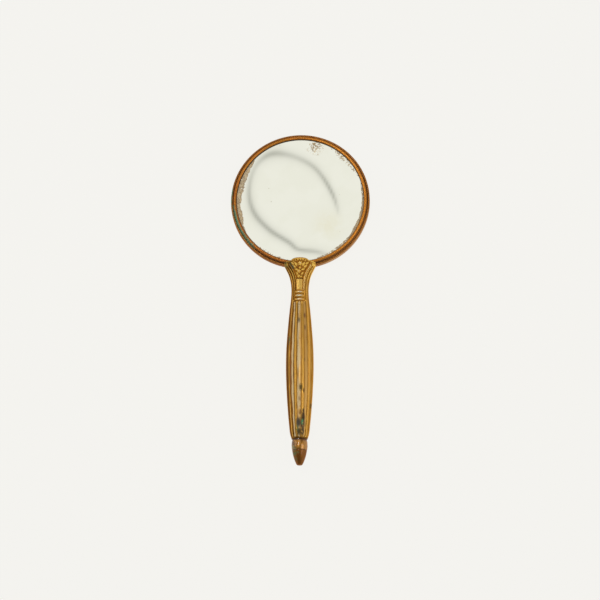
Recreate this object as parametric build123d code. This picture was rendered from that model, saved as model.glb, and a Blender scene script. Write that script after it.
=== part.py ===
from build123d import *
import math
import os

# A round hand mirror with a fluted brass handle, in millimetres.
# +Z is the way the glass faces, +Y runs from the handle to the far end of the head, and the origin is
# the middle of the head on the flat underside of its back.

# Head: a glass disc in a turned ring, closed by a thin pan
GLASS_RADIUS = 88.9 / 2
GLASS_THICKNESS = 3.0
GLASS_CHAMFER = 0.4
CARD_THICKNESS = 0.8
FELT_THICKNESS = 0.7
PAN_SHEET = 0.5
PAN_FLANGE_Z = 0.7
PAN_FLOOR_RADIUS = 42.0
PAN_STEP = 0.8
FELT_MARGIN = 1.0
RIM_RADIUS = 47.1
RIM_TOP = 6.6
SEAT_RADIUS = 44.7
SIGHT_RADIUS = 43.3
BACK_LIP_Z = 0.1
BACK_LIP = 0.6
BACK_LIP_WIDTH = 1.3
BEAD_OUTER_RADIUS = 45.2
GROOVE_OUTER_RADIUS = 45.8
GROOVE_Z = 4.4
GROOVE_HOLLOW = 0.2
BAND_TOP = 4.6
BAND_CREST_RADIUS = 46.3
BAND_EDGE_Z = 3.8
TURNED_LINES = (13.0, 15.0, 33.0)
LINE_DEPTH = 0.15
FIT = 0.1

GLASS_Z = PAN_FLANGE_Z + PAN_SHEET + CARD_THICKNESS
LIP_Z = GLASS_Z + GLASS_THICKNESS

# Handle: two cast halves that meet on the plane through its axis
AXIS_Z = 3.3
FLUTES_PER_HALF = 5
SEAM_LAND = 9.0
SHELL_END_Y = -165.0
# Stations down the handle: Y, half width, half height, flute depth and squareness of the section
STATIONS = (
    (-38.5, 10.2, 4.6, 0.25, 3.2),
    (-44.5, 10.5, 5.2, 0.35, 3.0),
    (-49.0, 9.25, 5.5, 0.40, 2.6),
    (-54.0, 7.15, 5.7, 0.40, 2.2),
    (-62.0, 5.85, 5.8, 0.40, 2.0),
    (-76.0, 6.75, 6.75, 0.45, 2.0),
    (-95.0, 8.5, 8.5, 0.55, 2.0),
    (-117.0, 9.2, 9.2, 0.60, 2.0),
    (-138.0, 8.35, 8.35, 0.55, 2.0),
    (-155.0, 6.95, 6.95, 0.40, 2.0),
    (-162.5, 5.9, 5.9, 0.30, 2.0),
    (-165.0, 5.1, 5.1, 0.20, 2.0),
)
LEAF_UNDERSIDE = RIM_TOP + 0.05
LEAF_BACK_GAP = 0.15
LEAF_TIP_Y = -41.0
LEAF_SHOULDER_Y = -43.6
LEAF_HALF_WIDTH = 12.0

# Hollow of the handle: two cones that meet at the belly
BORE_START_Y = -72.0
BORE_BELLY_Y = -117.0
BORE_NECK_RADIUS = 3.8
BORE_BELLY_RADIUS = 6.6
BORE_END_RADIUS = 3.0

# Tang, screws, rod and pins inside the handle
TANG_WIDTH = 7.0
TANG_THICKNESS = 2.4
TANG_END_Y = -66.0
TANG_REACH = 1.0
TANG_CLEARANCE = 0.15
FOOT_ANGLE = 10.0
FOOT_THICKNESS = 1.2
FOOT_HEIGHT = 3.0
SOCKET_RADIUS = 3.2
SOCKET_END_Y = -72.0
ROD_RADIUS = 2.0
ROD_START_Y = -67.0
ROD_END_Y = -178.0
ROD_BEVEL = 0.4
SCREW_STATIONS = (-52.0, -58.5)
SCREW_RADIUS = 1.0
SCREW_HEAD_RADIUS = 1.9
SCREW_HEAD_HEIGHT = 1.1
SCREW_SLOT = 0.5
SCREW_BACK_Z = -1.6
SCREW_TIP_Z = 6.2
RECESS_DEPTH = 10.0
DOWEL_RADIUS = 0.6
DOWEL_HALF_LENGTH = 2.0
DOWELS = ((6.3, -88.0), (6.4, -142.0))

# Collar and tip at the end of the handle
COLLAR_SPIGOT_RADIUS = 2.9
COLLAR_SPIGOT_LENGTH = 4.0
SPIGOT_PLAY = 0.05
SPIGOT_END_GAP = 0.5
COLLAR_END_Y = -172.5
BULB_Y = -169.3
BULB_RADIUS = 5.35
COLLAR_TOP_RADIUS = 4.8
COLLAR_BOTTOM_RADIUS = 4.95
TIP_END_Y = -182.2
TIP_SHOULDER = 0.15
TIP_SIDE = (3.75, -177.0)
TIP_NOSE = (1.9, -181.5)
TIP_BLUNT_RADIUS = 1.3

# Ornament cast on the front half
NECK_BEADS = (-65.7, -68.2, -70.7)
NECK_BEAD_RADIUS = 0.95
NECK_BEAD_SPAN = 7.2
NECK_BEAD_HEIGHT = 5.2
SPRAY_TOP_Y = -44.0
SPRAY_FOOT_Y = -56.0
SPRAY_TOP_WIDTH = 11.0
SPRAY_FOOT_WIDTH = 4.0
SPRAY_RISE = 0.6
SPRAY_THICKNESS = 2.0
SPRAY_STATION = 2


def revolved(points, arcs=()):
    """A solid of revolution about Z from (radius, z) points; arcs maps a segment's index to its middle."""
    middles = dict(arcs)
    count = len(points)
    edges = []
    for i, start in enumerate(points):
        end = points[(i + 1) % count]
        a = (start[0], 0, start[1])
        b = (end[0], 0, end[1])
        if i in middles:
            edges.append(ThreePointArc(a, (middles[i][0], 0, middles[i][1]), b))
        else:
            edges.append(Line(a, b))
    return revolve(make_face(edges), Axis.Z, 360)


def turned(points, arcs=()):
    """A solid turned about the handle's axis from (radius, y) points, its larger end at larger y."""
    upright = revolved([(radius, y) for radius, y in points], arcs)
    return Pos(0, 0, AXIS_Z) * (Rot(-90, 0, 0) * upright)


def ring_section():
    """The ring's outline: inner bead, groove and outer band in front, a rolled lip behind."""
    back_lip_top = BACK_LIP_Z + BACK_LIP
    bead_foot = RIM_TOP - (BEAD_OUTER_RADIUS - SIGHT_RADIUS) / 2
    points = [
        (SIGHT_RADIUS, LIP_Z),
        (SIGHT_RADIUS, bead_foot),
        (BEAD_OUTER_RADIUS, bead_foot),
        (BEAD_OUTER_RADIUS, GROOVE_Z),
        (GROOVE_OUTER_RADIUS, GROOVE_Z),
        (RIM_RADIUS, BAND_EDGE_Z),
        (RIM_RADIUS, back_lip_top),
        (RIM_RADIUS - BACK_LIP, BACK_LIP_Z),
        (SEAT_RADIUS - BACK_LIP_WIDTH, BACK_LIP_Z),
        (SEAT_RADIUS - BACK_LIP_WIDTH, back_lip_top),
        (SEAT_RADIUS, back_lip_top),
        (SEAT_RADIUS, LIP_Z),
    ]
    corner = BACK_LIP * (1 - math.sqrt(0.5))
    arcs = {
        1: ((SIGHT_RADIUS + BEAD_OUTER_RADIUS) / 2, RIM_TOP),
        3: ((BEAD_OUTER_RADIUS + GROOVE_OUTER_RADIUS) / 2, GROOVE_Z - GROOVE_HOLLOW),
        4: (BAND_CREST_RADIUS, BAND_TOP),
        6: (RIM_RADIUS - corner, BACK_LIP_Z + corner),
    }
    return points, arcs


def bezel_ring():
    """Turned brass ring that holds the glass, card and pan."""
    points, arcs = ring_section()
    return revolved(points, arcs)


def back_pan():
    """Thin pan that closes the ring, with fine turned lines on its flat underside."""
    flange_radius = SEAT_RADIUS - FIT
    step_radius = PAN_FLOOR_RADIUS + PAN_STEP
    pan = revolved([
        (0, 0),
        (PAN_FLOOR_RADIUS, 0),
        (step_radius, PAN_FLANGE_Z),
        (flange_radius, PAN_FLANGE_Z),
        (flange_radius, PAN_FLANGE_Z + PAN_SHEET),
        (step_radius - PAN_SHEET / 2, PAN_FLANGE_Z + PAN_SHEET),
        (PAN_FLOOR_RADIUS - PAN_SHEET / 2, PAN_SHEET),
        (0, PAN_SHEET),
    ])
    for radius in TURNED_LINES:
        pan -= Torus(radius, LINE_DEPTH)
    return pan


def disc(radius, bottom, thickness):
    """A plain round sheet."""
    return Pos(0, 0, bottom + thickness / 2) * Cylinder(radius, thickness)


def mirror_glass():
    """The silvered glass, with its sharp edges ground off."""
    glass = disc(GLASS_RADIUS, GLASS_Z, GLASS_THICKNESS)
    return chamfer(glass.edges(), GLASS_CHAMFER)


def backing_card():
    """Card between the silvering and the pan."""
    return disc(GLASS_RADIUS - FIT, GLASS_Z - CARD_THICKNESS, CARD_THICKNESS)


def packing_felt():
    """Felt between the card and the pan's floor."""
    return disc(PAN_FLOOR_RADIUS - FELT_MARGIN, PAN_SHEET, FELT_THICKNESS)


def half_section(station, side):
    """Half of the cross section: hollow flutes between sharp ridges, with a flat land by the seam."""
    y, half_width, half_height, depth, squareness = station
    power = 2 / squareness
    pitch = (180 - 2 * SEAM_LAND) / FLUTES_PER_HALF
    angles = [SEAM_LAND + pitch * i for i in range(FLUTES_PER_HALF + 1)]
    ridges = [Vector(half_width, y, AXIS_Z)]
    for angle in angles:
        across = math.cos(math.radians(angle))
        x = math.copysign(abs(across) ** power, across) * half_width
        z = math.sin(math.radians(angle)) ** power * half_height
        ridges.append(Vector(x, y, AXIS_Z + side * z))
    ridges.append(Vector(-half_width, y, AXIS_Z))
    axis = Vector(0, y, AXIS_Z)
    edges = [Line(ridges[0], ridges[1])]
    for a, b in zip(ridges[1:-1], ridges[2:-1]):
        middle = (a + b) * 0.5
        hollow = middle + (axis - middle).normalized() * depth
        edges.append(ThreePointArc(a, hollow, b))
    edges.append(Line(ridges[-2], ridges[-1]))
    edges.append(Line(ridges[-1], ridges[0]))
    return make_face(edges)


def head_envelope():
    """The space that the head takes between the two prongs of the fork."""
    points, arcs = ring_section()
    outline = [
        (0, BACK_LIP_Z - LEAF_BACK_GAP),
        (0, LEAF_UNDERSIDE),
        (BEAD_OUTER_RADIUS, LEAF_UNDERSIDE),
    ]
    outline += points[3:8]
    outline.append((SEAT_RADIUS, BACK_LIP_Z - LEAF_BACK_GAP))
    shifted = {3: arcs[3], 4: arcs[4], 6: arcs[6]}
    return revolved(outline, shifted)


def leaf_outline():
    """The fork's plan view, which ends in a low arch over the ring."""
    shoulder = (LEAF_HALF_WIDTH, LEAF_SHOULDER_Y)
    arch = ThreePointArc(shoulder, (0, LEAF_TIP_Y), (-LEAF_HALF_WIDTH, LEAF_SHOULDER_Y))
    end_y = SHELL_END_Y - 1.0
    sides = Polyline(
        (-LEAF_HALF_WIDTH, LEAF_SHOULDER_Y),
        (-LEAF_HALF_WIDTH, end_y),
        (LEAF_HALF_WIDTH, end_y),
        shoulder,
    )
    return extrude(Pos(0, 0, AXIS_Z) * make_face([arch, sides]), LEAF_HALF_WIDTH, both=True)


def bore():
    """The hollow of the handle, with the straight bore that takes the collar's spigot."""
    return turned([
        (0, SHELL_END_Y - 1.0),
        (COLLAR_SPIGOT_RADIUS, SHELL_END_Y - 1.0),
        (COLLAR_SPIGOT_RADIUS, SHELL_END_Y + COLLAR_SPIGOT_LENGTH),
        (BORE_END_RADIUS, SHELL_END_Y + COLLAR_SPIGOT_LENGTH),
        (BORE_BELLY_RADIUS, BORE_BELLY_Y),
        (BORE_NECK_RADIUS, BORE_START_Y),
        (0, BORE_START_Y),
    ])


def tang_blank(grown):
    """The tang before it is bored: bar, curved foot and socket, grown all round by a clearance."""
    start_y = TANG_END_Y - grown
    length = -start_y - RIM_RADIUS + TANG_REACH
    height = TANG_THICKNESS + 2 * grown
    bar = Pos(0, start_y + length / 2, AXIS_Z) * Box(TANG_WIDTH + 2 * grown, length, height)
    foot_height = FOOT_HEIGHT + 2 * grown
    foot_width = 2 * (RIM_RADIUS * math.sin(math.radians(FOOT_ANGLE)) + grown)
    wedge = Pos(0, -RIM_RADIUS, 0) * Box(foot_width, foot_width, foot_height)
    foot_ring = Cylinder(RIM_RADIUS + FOOT_THICKNESS + grown, foot_height)
    foot = Pos(0, 0, BAND_EDGE_Z - FOOT_HEIGHT / 2) * (foot_ring & wedge)
    socket = turned([
        (0, SOCKET_END_Y - grown),
        (SOCKET_RADIUS + grown, SOCKET_END_Y - grown),
        (SOCKET_RADIUS + grown, start_y + 2 * grown),
        (0, start_y + 2 * grown),
    ])
    return bar + foot + socket


def tang():
    """Tongue between the handle halves, with a curved foot on the ring and a socket for the rod."""
    body = tang_blank(0)
    body -= Pos(0, 0, AXIS_Z) * Cylinder(RIM_RADIUS, 2 * RIM_TOP)
    body -= rod_space()
    for y in SCREW_STATIONS:
        body -= Pos(0, y, AXIS_Z) * Cylinder(SCREW_RADIUS, 2 * RIM_TOP)
    return body


def rod_space():
    """The tie rod's own cylinder."""
    return turned([(0, ROD_END_Y), (ROD_RADIUS, ROD_END_Y), (ROD_RADIUS, ROD_START_Y), (0, ROD_START_Y)])


def tie_rod():
    """Steel rod from the tang's socket to the tip, with chamfered ends."""
    return turned([
        (0, ROD_END_Y),
        (ROD_RADIUS - ROD_BEVEL, ROD_END_Y),
        (ROD_RADIUS, ROD_END_Y + ROD_BEVEL),
        (ROD_RADIUS, ROD_START_Y - ROD_BEVEL),
        (ROD_RADIUS - ROD_BEVEL, ROD_START_Y),
        (0, ROD_START_Y),
    ])


def head_screw(y):
    """A slotted cheese-head screw, driven from the back through the tang."""
    shank_length = SCREW_TIP_Z - SCREW_BACK_Z
    shank = Pos(0, y, SCREW_BACK_Z + shank_length / 2) * Cylinder(SCREW_RADIUS, shank_length)
    head_centre = SCREW_BACK_Z - SCREW_HEAD_HEIGHT / 2
    head = Pos(0, y, head_centre) * Cylinder(SCREW_HEAD_RADIUS, SCREW_HEAD_HEIGHT)
    slot = Pos(0, y, SCREW_BACK_Z - SCREW_HEAD_HEIGHT) * Box(2 * SCREW_HEAD_RADIUS, SCREW_SLOT, SCREW_SLOT)
    return shank + head - slot


def dowel_places():
    """Where the pins stand: one each side of the hollow at both stations."""
    return [(side * x, y) for x, y in DOWELS for side in (-1, 1)]


def dowel(x, y):
    """A pin that crosses the split of the handle."""
    return Pos(x, y, AXIS_Z) * Cylinder(DOWEL_RADIUS, 2 * DOWEL_HALF_LENGTH)


def inner_cuts():
    """Everything that is cut out of both handle halves."""
    cuts = [head_envelope(), tang_blank(TANG_CLEARANCE), bore()]
    for y in SCREW_STATIONS:
        shank_length = SCREW_TIP_Z - SCREW_BACK_Z
        cuts.append(Pos(0, y, SCREW_BACK_Z + shank_length / 2) * Cylinder(SCREW_RADIUS, shank_length))
        recess_centre = SCREW_BACK_Z - RECESS_DEPTH / 2
        cuts.append(Pos(0, y, recess_centre) * Cylinder(SCREW_HEAD_RADIUS + TANG_CLEARANCE, RECESS_DEPTH))
    cuts += [dowel(x, y) for x, y in dowel_places()]
    return cuts


def half_shell(side):
    """One cast half of the handle: fluted outside, hollow inside, with a prong over the head."""
    body = loft([half_section(station, side) for station in STATIONS])
    body &= leaf_outline()
    return body


def neck_beads():
    """Three stacked half-round beads across the front of the neck."""
    beads = []
    for y in NECK_BEADS:
        bar = Rot(0, 90, 0) * Cylinder(NECK_BEAD_RADIUS, NECK_BEAD_SPAN)
        beads.append(Pos(0, y, AXIS_Z + NECK_BEAD_HEIGHT) * bar)
    return beads


def flower_spray():
    """The raised fan under the arch that carries the flowers."""
    outline = Polyline(
        (-SPRAY_TOP_WIDTH / 2, SPRAY_TOP_Y),
        (-SPRAY_FOOT_WIDTH / 2, SPRAY_FOOT_Y),
        (SPRAY_FOOT_WIDTH / 2, SPRAY_FOOT_Y),
        (SPRAY_TOP_WIDTH / 2, SPRAY_TOP_Y),
        close=True,
    )
    top = AXIS_Z + STATIONS[SPRAY_STATION][2] + SPRAY_RISE
    return extrude(Pos(0, 0, top - SPRAY_THICKNESS) * make_face(outline), SPRAY_THICKNESS)


def handle_front(cuts):
    """Front half, with the neck beads and the flower spray cast on."""
    body = half_shell(1)
    for raised in neck_beads() + [flower_spray()]:
        body += raised
    for cut in cuts:
        body -= cut
    return body


def handle_back(cuts):
    """Back half, plain apart from its flutes and the two screw recesses."""
    body = half_shell(-1)
    for cut in cuts:
        body -= cut
    return body


def end_collar():
    """Turned bulb whose spigot keys the two handle halves together."""
    spigot_radius = COLLAR_SPIGOT_RADIUS - SPIGOT_PLAY
    spigot_end = SHELL_END_Y + COLLAR_SPIGOT_LENGTH - SPIGOT_END_GAP
    return turned(
        [
            (ROD_RADIUS, COLLAR_END_Y),
            (COLLAR_BOTTOM_RADIUS, COLLAR_END_Y),
            (COLLAR_TOP_RADIUS, SHELL_END_Y),
            (spigot_radius, SHELL_END_Y),
            (spigot_radius, spigot_end),
            (ROD_RADIUS, spigot_end),
        ],
        {1: (BULB_RADIUS, BULB_Y)},
    )


def finial_tip():
    """Blunt tip that screws onto the rod and draws the collar up."""
    return turned(
        [
            (ROD_RADIUS, COLLAR_END_Y),
            (ROD_RADIUS, ROD_END_Y),
            (0, ROD_END_Y),
            (0, TIP_END_Y),
            (TIP_BLUNT_RADIUS, TIP_END_Y),
            TIP_NOSE,
            (COLLAR_BOTTOM_RADIUS - TIP_SHOULDER, COLLAR_END_Y),
        ],
        {5: TIP_SIDE},
    )


def main():
    os.makedirs("parts", exist_ok=True)
    cuts = inner_cuts()
    nodes = {
        "bezel_ring": bezel_ring(),
        "back_pan": back_pan(),
        "mirror_glass": mirror_glass(),
        "backing_card": backing_card(),
        "packing_felt": packing_felt(),
        "tang": tang(),
        "tie_rod": tie_rod(),
        "handle_front": handle_front(cuts),
        "handle_back": handle_back(cuts),
        "end_collar": end_collar(),
        "finial_tip": finial_tip(),
        "head_screws": Compound(children=[head_screw(y) for y in SCREW_STATIONS]),
        "dowel_pins": Compound(children=[dowel(x, y) for x, y in dowel_places()]),
    }
    for name, shape in nodes.items():
        export_step(shape, f"parts/{name}.step")


main()
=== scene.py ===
import math

import bmesh
import bpy
import numpy as np
from mathutils import Matrix, Vector


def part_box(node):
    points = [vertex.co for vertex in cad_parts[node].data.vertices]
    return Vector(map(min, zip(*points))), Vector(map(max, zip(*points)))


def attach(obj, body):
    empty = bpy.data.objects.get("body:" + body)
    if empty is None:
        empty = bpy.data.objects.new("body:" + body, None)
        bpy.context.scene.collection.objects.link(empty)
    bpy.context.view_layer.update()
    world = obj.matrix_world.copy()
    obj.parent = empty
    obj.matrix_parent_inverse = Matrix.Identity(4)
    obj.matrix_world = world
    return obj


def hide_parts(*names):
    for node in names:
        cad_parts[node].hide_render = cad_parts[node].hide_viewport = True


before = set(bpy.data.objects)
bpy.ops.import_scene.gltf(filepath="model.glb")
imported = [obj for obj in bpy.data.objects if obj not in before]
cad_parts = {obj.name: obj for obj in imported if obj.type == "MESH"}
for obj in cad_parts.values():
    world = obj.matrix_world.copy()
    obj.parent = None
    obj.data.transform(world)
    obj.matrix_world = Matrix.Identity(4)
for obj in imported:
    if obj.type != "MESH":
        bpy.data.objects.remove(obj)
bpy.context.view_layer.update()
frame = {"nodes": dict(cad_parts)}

# An old round hand mirror in fluted, gilt brass. The mirror's lengths are in millimetres, in the CAD's
# frame, and become metres where a mesh is made. The studio's lengths are in metres.
MM = 0.001
ROOT = "root"


def box_mm(node):
    """A CAD node's lowest and highest corners in millimetres."""
    low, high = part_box(node)
    return low / MM, high / MM


RING_LOW, RING_HIGH = box_mm("bezel_ring")
GLASS_HIGH = box_mm("mirror_glass")[1]
PAN_HIGH = box_mm("back_pan")[1]
FRONT_LOW = box_mm("handle_front")[0]
BACK_LOW = box_mm("handle_back")[0]
COLLAR_LOW, COLLAR_HIGH = box_mm("end_collar")
TIP_LOW, TIP_HIGH = box_mm("finial_tip")
ROD_LOW, ROD_HIGH = box_mm("tie_rod")

AXIS_Z = FRONT_LOW.z
SHELL_END = FRONT_LOW.y
RIM_RADIUS = RING_HIGH.x
RIM_TOP = RING_HIGH.z
SIGHT_RADIUS = 43.3
SEAT_RADIUS = 44.7
LIP_Z = GLASS_HIGH.z


# ---------------------------------------------------------------- mesh tools

def link(thing):
    bpy.context.scene.collection.objects.link(thing)
    return thing


def weld(mesh, gap, outward=False):
    """Joins points closer than gap, in metres, and can turn the faces outward."""
    work = bmesh.new()
    work.from_mesh(mesh)
    bmesh.ops.remove_doubles(work, verts=work.verts, dist=gap)
    if outward:
        bmesh.ops.recalc_face_normals(work, faces=work.faces)
    work.to_mesh(mesh)
    work.free()


SHARP_ANGLE = 32
CUT_SHARP_ANGLE = 40


def new_object(name, points, faces, **layers):
    """A closed mesh from points in millimetres, its normals outward, its edges sharp past an angle."""
    mesh = bpy.data.meshes.new(name)
    mesh.from_pydata((np.asarray(points) * MM).tolist(), [], faces)
    for key, values in layers.items():
        layer = mesh.attributes.new(key, "FLOAT", "POINT")
        layer.data.foreach_set("value", np.asarray(values, dtype=np.float32).ravel())
    weld(mesh, 1e-7, outward=True)
    finish_shading(mesh, SHARP_ANGLE)
    return link(bpy.data.objects.new(name, mesh))


def finish_shading(mesh, sharp):
    """Smooth faces, with edges sharper than an angle in degrees left sharp."""
    mesh.shade_smooth()
    mesh.set_sharp_from_angle(angle=math.radians(sharp))


def grid_faces(rows, columns, wrap_rows=False, wrap_columns=False):
    """Quads over a grid of rows by columns of points, numbered along the columns first."""
    row_count = rows if wrap_rows else rows - 1
    column_count = columns if wrap_columns else columns - 1
    i, j = np.meshgrid(np.arange(row_count), np.arange(column_count), indexing="ij")
    i, j = i.ravel(), j.ravel()
    i2, j2 = (i + 1) % rows, (j + 1) % columns
    quads = np.stack([i * columns + j, i * columns + j2, i2 * columns + j2, i2 * columns + j], 1)
    return quads.tolist()


def arc(start, middle, end, steps):
    """Points from start to end along the circle through middle, leaving the end itself out."""
    (ax, ay), (bx, by), (cx, cy) = start, middle, end
    d = 2 * (ax * (by - cy) + bx * (cy - ay) + cx * (ay - by))
    a2, b2, c2 = ax * ax + ay * ay, bx * bx + by * by, cx * cx + cy * cy
    ox = (a2 * (by - cy) + b2 * (cy - ay) + c2 * (ay - by)) / d
    oy = (a2 * (cx - bx) + b2 * (ax - cx) + c2 * (bx - ax)) / d
    radius = math.hypot(ax - ox, ay - oy)
    first, mid, last = (math.atan2(y - oy, x - ox) for x, y in (start, middle, end))
    sweep = (last - first) % (2 * math.pi)
    if (mid - first) % (2 * math.pi) > sweep:
        sweep -= 2 * math.pi
    angles = first + sweep * np.arange(steps) / steps
    return [(ox + radius * math.cos(a), oy + radius * math.sin(a)) for a in angles]


def line(start, end, steps):
    """Points from start to end, leaving the end itself out."""
    t = np.arange(steps)[:, None] / steps
    return (np.array(start) * (1 - t) + np.array(end) * t).tolist()


def trace(start, *legs):
    """A profile's points. A leg is (steps, end) for a line, or (steps, through, end) for an arc."""
    points = []
    for steps, *through, end in legs:
        points += arc(start, through[0], end, steps) if through else line(start, end, steps)
        start = end
    return points


def lathe(name, profile, turns, along_handle=False, relief=None, wobble=0.0):
    """A turned piece from a closed profile of (radius, height) points, about Z or the handle's axis."""
    radius, height = np.array(profile, dtype=float).T
    angle = np.linspace(0, 2 * math.pi, turns, endpoint=False)[:, None]
    uneven = 1 + wobble * (np.sin(3 * angle + 0.7) + 0.6 * np.sin(7 * angle + 2.1) - 1.6) * (radius > 0)
    across = radius * uneven
    level = np.broadcast_to(height, across.shape)
    if along_handle:
        points = np.stack([across * np.cos(angle), level, AXIS_Z + across * np.sin(angle)], -1)
    else:
        points = np.stack([across * np.cos(angle), across * np.sin(angle), level], -1)
    layers = {} if relief is None else {"relief": np.broadcast_to(relief(radius, height), across.shape)}
    faces = grid_faces(turns, len(radius), wrap_rows=True, wrap_columns=True)
    return new_object(name, points.reshape(-1, 3), faces, **layers)


def smooth(x, knots, values):
    """A smooth curve through given knots (cubic pieces with matching slopes)."""
    knots, values = np.array(knots, dtype=float), np.array(values, dtype=float)
    x = np.clip(x, knots[0], knots[-1])
    slopes = np.gradient(values, knots)
    k = np.clip(np.searchsorted(knots, x) - 1, 0, len(knots) - 2)
    h = knots[k + 1] - knots[k]
    t = (x - knots[k]) / h
    a = (1 + 2 * t) * (1 - t) ** 2 * values[k] + t * (1 - t) ** 2 * h * slopes[k]
    b = t * t * (3 - 2 * t) * values[k + 1] + t * t * (t - 1) * h * slopes[k + 1]
    return a + b


def welded(node):
    """A watertight copy of a CAD node's mesh, to cut with."""
    copy = node.copy()
    copy.data = node.data.copy()
    copy.parent = None
    copy.matrix_world = node.matrix_world
    weld(copy.data, 1e-6)
    return link(copy)


def boolean(thing, cutter, operation="DIFFERENCE"):
    """Cuts thing's mesh with another object, for good."""
    step = thing.modifiers.new("cut", "BOOLEAN")
    step.operation = operation
    step.solver = "MANIFOLD"
    step.object = cutter
    seen = bpy.context.evaluated_depsgraph_get()
    seen.update()
    mesh = bpy.data.meshes.new_from_object(thing.evaluated_get(seen))
    thing.modifiers.clear()
    old, thing.data = thing.data, mesh
    bpy.data.meshes.remove(old)


def remove(thing):
    mesh = thing.data
    bpy.data.objects.remove(thing)
    bpy.data.meshes.remove(mesh)


# ---------------------------------------------------------------- the ring and the pan

BEAD_RADIUS = 0.95
BEAD_OUTER = SIGHT_RADIUS + 2 * BEAD_RADIUS
BEAD_FOOT = RIM_TOP - BEAD_RADIUS
GROOVE_OUTER = 45.8
GROOVE_Z = 4.4
GROOVE_DARKEST = 45.45
BAND_CREST = (46.3, 4.6)
BAND_EDGE_Z = 3.8
BACK_LIP = 0.6
LIP_BACK_Z = RING_LOW.z


def ring_profile():
    """Inner bead, groove and outer band in front, plain wall, and a rolled lip behind."""
    lip_top = LIP_BACK_Z + BACK_LIP
    lip_inner = SEAT_RADIUS - 1.3
    corner = BACK_LIP * (1 - math.sqrt(0.5))
    return trace(
        (SIGHT_RADIUS, LIP_Z),
        (2, (SIGHT_RADIUS, BEAD_FOOT)),
        (18, (SIGHT_RADIUS + BEAD_RADIUS, RIM_TOP), (BEAD_OUTER, BEAD_FOOT)),
        (4, (BEAD_OUTER, GROOVE_Z)),
        (5, ((BEAD_OUTER + GROOVE_OUTER) / 2, GROOVE_Z - 0.2), (GROOVE_OUTER, GROOVE_Z)),
        (12, BAND_CREST, (RIM_RADIUS, BAND_EDGE_Z)),
        (5, (RIM_RADIUS, lip_top)),
        (5, (RIM_RADIUS - corner, LIP_BACK_Z + corner), (RIM_RADIUS - BACK_LIP, LIP_BACK_Z)),
        (4, (lip_inner, LIP_BACK_Z)),
        (1, (lip_inner, lip_top)),
        (1, (SEAT_RADIUS, lip_top)),
        (1, (SEAT_RADIUS, LIP_Z)),
        (2, (SIGHT_RADIUS, LIP_Z)),
    )


def ring_relief(radius, height):
    """1 on the bead, half on the duller outer band, below 0 at the groove's bottom and on the inner wall
    against the glass, which ring_metal paints near black; on the wall that black is painted shade.
    """
    front = height > BAND_EDGE_Z - 0.1
    level = np.where(radius > BEAD_OUTER + 0.1, 0.62, 1.0)
    groove = np.exp(-((radius - GROOVE_DARKEST) / 0.40) ** 2) * front
    # painted shade: the inner wall against the glass goes below 0, so it is painted near black
    wall = (radius < SIGHT_RADIUS + 0.06) * (height < BEAD_FOOT + 0.35)
    side = 0.35 * (radius > RIM_RADIUS - 0.12)
    return np.clip(level - 0.85 * groove - 1.2 * wall - side, -0.3, 1)


def make_ring():
    ring = lathe("bezel_ring_turned", ring_profile(), 720, relief=ring_relief, wobble=0.00025)
    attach(ring, ROOT)
    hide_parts("bezel_ring")
    return ring


def pan_profile():
    """Thin spun pan: a flat floor with fine turned lines, a step and a flange."""
    flange, top = PAN_HIGH.x, PAN_HIGH.z
    sheet, step = 0.5, 0.7
    floor = 42.0
    profile = [(0, 0)]
    for groove in (13.0, 15.0, 33.0):
        profile += [(groove - 0.35, 0), (groove, 0.15), (groove + 0.35, 0)]
    profile += trace((floor - 0.8, 0), (2, (floor, 0.05)), (3, (floor + 0.8, step)))
    profile += [(floor + 0.8, step), (flange, step), (flange, top), (floor + 0.5, top)]
    profile += [(floor - 0.4, sheet), (20.0, sheet), (0, sheet)]
    return profile


def make_pan():
    pan = lathe("back_pan_spun", pan_profile(), 240)
    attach(pan, ROOT)
    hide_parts("back_pan")
    return pan


# ---------------------------------------------------------------- the handle

# Stations up the handle: Y, half width, half height and squareness of the section
STATIONS = np.array([
    (-165.0, 5.10, 5.10, 2.0),
    (-162.5, 5.95, 5.95, 2.0),
    (-155.0, 6.98, 6.98, 2.0),
    (-144.0, 7.95, 7.95, 2.0),
    (-131.0, 8.75, 8.65, 2.0),
    (-117.0, 9.20, 9.04, 2.0),
    (-103.0, 8.97, 8.84, 2.0),
    (-89.5, 8.03, 8.03, 2.0),
    (-76.0, 6.80, 6.80, 2.0),
    (-68.0, 5.95, 5.95, 2.0),
    (-62.0, 5.80, 5.80, 2.0),
    (-57.0, 6.38, 5.75, 2.1),
    (-52.5, 7.60, 5.60, 2.35),
    (-49.0, 9.25, 5.35, 2.7),
    (-46.5, 10.45, 5.15, 3.0),
    (-44.2, 10.75, 4.85, 3.2),
])
BELLY_Y = -117.0
SECTION_STEPS = 1440
ORNAMENT_FOOT = -75.5
ORNAMENT_PITCH = 0.17
FLUTE_PITCH = 0.8
END_PITCH = 0.2
END_ZONE = 3.0
COLUMNS = 440

# The fork's upper edge: shoulders, and a low dome between them
SHOULDER_Y = STATIONS[-1][0]
SHOULDER_RISE = 1.5
DOME_RISE = 1.6
DOME_HALF = 5.7
EDGE_FADE = 8.0
PAST_EDGE = SHOULDER_Y + 9.0

# Ridges, as fractions of the quarter turn from the top of the handle to its seam
INNER_RIDGE = 0.19
SIDE_RIDGE = 0.90
OUTER_RIDGE = ((-72.0, -60.0, -52.0, -47.0, -43.0), (0.545, 0.60, 0.68, 0.78, 0.84))
MIDDLE_RIB = ((-64.0, -58.0, -51.0, -47.0, -43.0), (0.40, 0.41, 0.50, 0.63, 0.71))
FIELD_EDGE = ((-64.0, -56.5, -51.0, -47.0, -43.0), (0.27, 0.28, 0.38, 0.50, 0.60))
FLUTE_SHARE = 0.74
FLUTE_DEPTH = 0.10

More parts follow.
